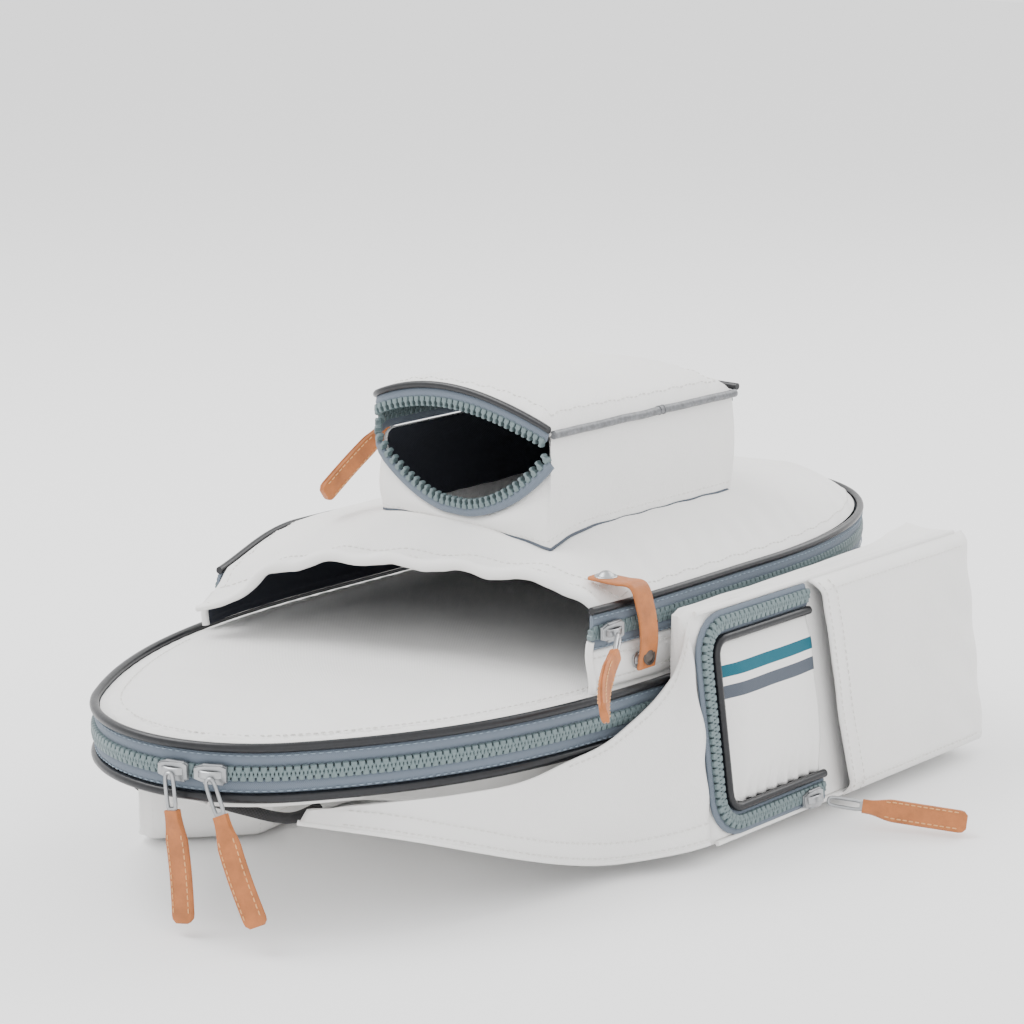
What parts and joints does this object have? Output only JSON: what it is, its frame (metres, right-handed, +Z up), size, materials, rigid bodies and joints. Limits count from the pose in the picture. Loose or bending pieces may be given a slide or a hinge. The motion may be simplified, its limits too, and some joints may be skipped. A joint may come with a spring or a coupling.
{
  "type": "racket backpack",
  "caption": "Soft racket backpack lying on its back, with a domed open-mouthed racket pocket, a zipped ball pouch on top and a side pocket with a zipped flap.",
  "frame": {"origin": "middle of the bag's bounding box, on the ground it lies on", "axes": "+Y from the nose (top end when worn) to the bottom end, +X towards the side pocket, +Z up from the straps to the ball pouch"},
  "size_m": [0.3447, 0.4935, 0.2163],
  "materials": {
    "white_fabric": "off-white woven polyester",
    "back_mesh": "grey spacer mesh",
    "zipper_tape": "slate herringbone tape",
    "zipper_teeth": "moulded grey-green teeth",
    "black_piping": "glossy black cord piping",
    "black_webbing": "ribbed black webbing",
    "black_plastic": "moulded black plastic",
    "satin_metal": "satin grey cast metal",
    "tan_leather": "tan leather with stitched edges"
  },
  "bodies": {
    "bag": {"back_shell": "white_fabric", "back_panel": "back_mesh", "shoulder_strap_left": "white_fabric", "shoulder_strap_right": "white_fabric", "strap_adjuster_left": "black_plastic", "strap_adjuster_right": "black_plastic", "strap_webbing_left": "black_webbing", "strap_webbing_right": "black_webbing", "haul_loop": "black_webbing", "main_teeth_lower": "zipper_teeth", "main_tape_lower": "zipper_tape", "main_piping_lower": "black_piping", "hinge_gusset": "white_fabric", "side_pocket": "white_fabric", "pocket_sleeve": "white_fabric", "side_wing": "white_fabric", "side_zip_fixed": "zipper_tape"},
    "front": {"front_panel": "white_fabric", "main_teeth_upper": "zipper_teeth", "main_tape_upper": "zipper_tape", "main_piping_upper": "black_piping", "pocket_gusset": "white_fabric", "racket_tape_lower": "zipper_tape", "racket_teeth_lower": "zipper_teeth", "snap_stud": "satin_metal"},
    "cover": {"racket_cover": "white_fabric", "mouth_hem": "white_fabric", "racket_teeth_upper": "zipper_teeth", "racket_tape_upper": "zipper_tape", "cover_piping": "black_piping", "pouch_walls": "white_fabric", "pouch_zip_lower": "zipper_tape", "snap_tab": "tan_leather", "snap_cap": "satin_metal"},
    "lid": {"pouch_zip_upper": "zipper_tape", "pouch_lid": "white_fabric", "lid_piping": "black_piping"},
    "flap": {"side_flap": "white_fabric", "flap_piping": "black_piping", "side_zip_flap": "zipper_tape"},
    "snap": {"snap_strap": "tan_leather"},
    "main_left_runner": {"main_left_slider": "satin_metal"},
    "main_left_tab": {"main_left_puller": "satin_metal", "main_left_pull": "tan_leather"},
    "main_right_runner": {"main_right_slider": "satin_metal"},
    "main_right_tab": {"main_right_puller": "satin_metal", "main_right_pull": "tan_leather"},
    "racket_runner": {"racket_slider": "satin_metal"},
    "racket_tab": {"racket_puller": "satin_metal", "racket_pull": "tan_leather"},
    "pouch_runner": {"pouch_slider": "satin_metal"},
    "pouch_tab": {"pouch_puller": "satin_metal", "pouch_pull": "tan_leather"},
    "side_runner": {"side_slider": "satin_metal"},
    "side_tab": {"side_puller": "satin_metal", "side_pull": "tan_leather"}
  },
  "joints": [
    {"name": "front_hinge", "type": "hinge", "parent": "bag", "child": "front", "pos_m": [-0.0485, 0.2486, 0.073], "axis": [-1, 0, 0], "range_deg": [0, 70]},
    {"name": "cover_hinge", "type": "hinge", "parent": "front", "child": "cover", "pos_m": [-0.169, 0.0611, 0.115], "axis": [0, -1, 0], "range_deg": [0, 100]},
    {"name": "lid_hinge", "type": "hinge", "parent": "cover", "child": "lid", "pos_m": [0.0165, 0.0391, 0.197], "axis": [0, 1, 0], "range_deg": [0, 105]},
    {"name": "flap_hinge", "type": "hinge", "parent": "bag", "child": "flap", "pos_m": [0.09548, 0.0731, 0.06253], "axis": [-0.1408, 0, 0.99], "range_deg": [0, 75]},
    {"name": "main_left_slide", "type": "hinge", "parent": "bag", "child": "main_left_runner", "pos_m": [-0.0485, -0.1589, 0.073], "axis": [0, 0, 1], "range_deg": [-60, 0]},
    {"name": "main_left_swing", "type": "hinge", "parent": "main_left_runner", "child": "main_left_tab", "pos_m": [-0.02606, -0.24265, 0.073], "axis": [-0.9589, -0.2569, -0.1207], "range_deg": [0, 140]},
    {"name": "main_right_slide", "type": "hinge", "parent": "bag", "child": "main_right_runner", "pos_m": [-0.0485, -0.1589, 0.073], "axis": [0, 0, 1], "range_deg": [0, 19]},
    {"name": "main_right_swing", "type": "hinge", "parent": "main_right_runner", "child": "main_right_tab", "pos_m": [-0.00847, -0.2358, 0.073], "axis": [-0.8125, -0.4229, -0.4013], "range_deg": [0, 140]},
    {"name": "racket_slide", "type": "slide", "parent": "front", "child": "racket_runner", "axis": [0.0301, 0.9995, 0], "range_m": [0, 0.006]},
    {"name": "racket_swing", "type": "hinge", "parent": "racket_runner", "child": "racket_tab", "pos_m": [0.07369, -0.0529, 0.115], "axis": [0, -0.3304, 0.9439], "range_deg": [0, 90]},
    {"name": "pouch_slide", "type": "slide", "parent": "cover", "child": "pouch_runner", "axis": [0, 1, 0], "range_m": [0, 0.085]},
    {"name": "pouch_swing", "type": "hinge", "parent": "pouch_runner", "child": "pouch_tab", "pos_m": [-0.1105, 0.0031, 0.1905], "axis": [0, 0.5708, -0.8211], "range_deg": [0, 120]},
    {"name": "side_slide", "type": "slide", "parent": "bag", "child": "side_runner", "axis": [0, 1, 0], "range_m": [-0.03, 0]},
    {"name": "side_swing", "type": "hinge", "parent": "side_runner", "child": "side_tab", "pos_m": [0.10961, 0.0591, 0.0143], "axis": [-0.1408, 0, 0.99], "range_deg": [-100, 40]},
    {"name": "snap_fold", "type": "hinge", "parent": "cover", "child": "snap", "pos_m": [0.06116, -0.0359, 0.13391], "axis": [0, -1, 0], "range_deg": [0, 100]}
  ]
}
